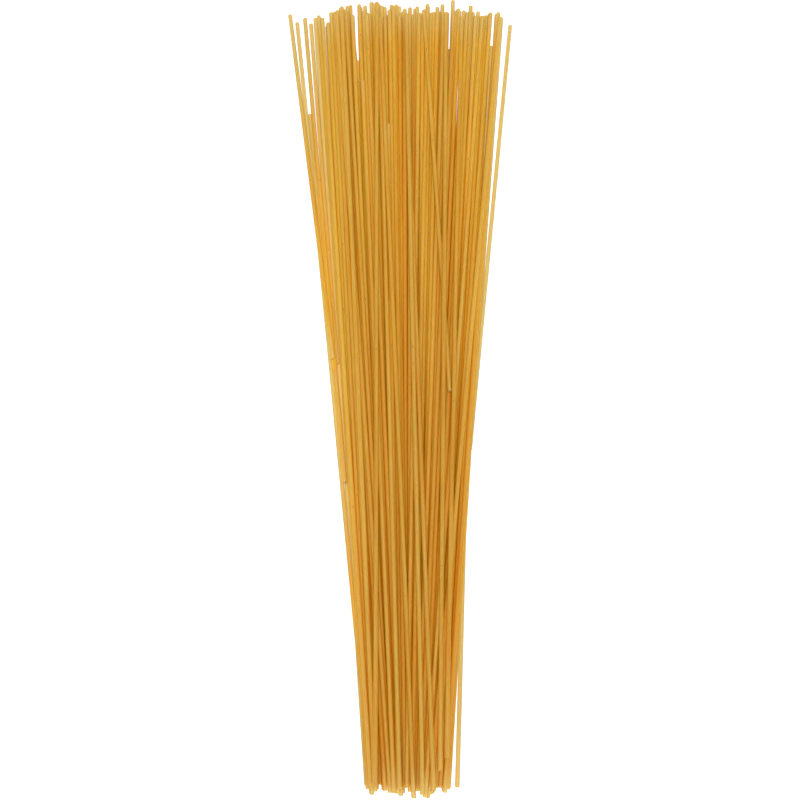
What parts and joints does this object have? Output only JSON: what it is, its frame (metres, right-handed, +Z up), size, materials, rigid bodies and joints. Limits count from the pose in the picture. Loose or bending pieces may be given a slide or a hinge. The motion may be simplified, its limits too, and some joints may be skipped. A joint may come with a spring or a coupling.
{
  "type": "bundle of dry spaghetti",
  "caption": "Loose bundle of straight dry spaghetti strands lying on a table, narrow at the foot and fanned out wide at the tip; uncooked pasta for kitchen and food scenes.",
  "frame": {"origin": "on the table, under the middle of the bundle's box", "axes": "+Z up from the table; +Y along the strands, from the narrow foot to the wide tip; +X to the right seen from the foot"},
  "size_m": [0.0784, 0.2682, 0.0163],
  "materials": {
    "pasta": "dry durum wheat pasta, amber, satin and slightly translucent"
  },
  "bodies": {
    "root": {"noodle_bundle": "pasta"}
  },
  "joints": []
}
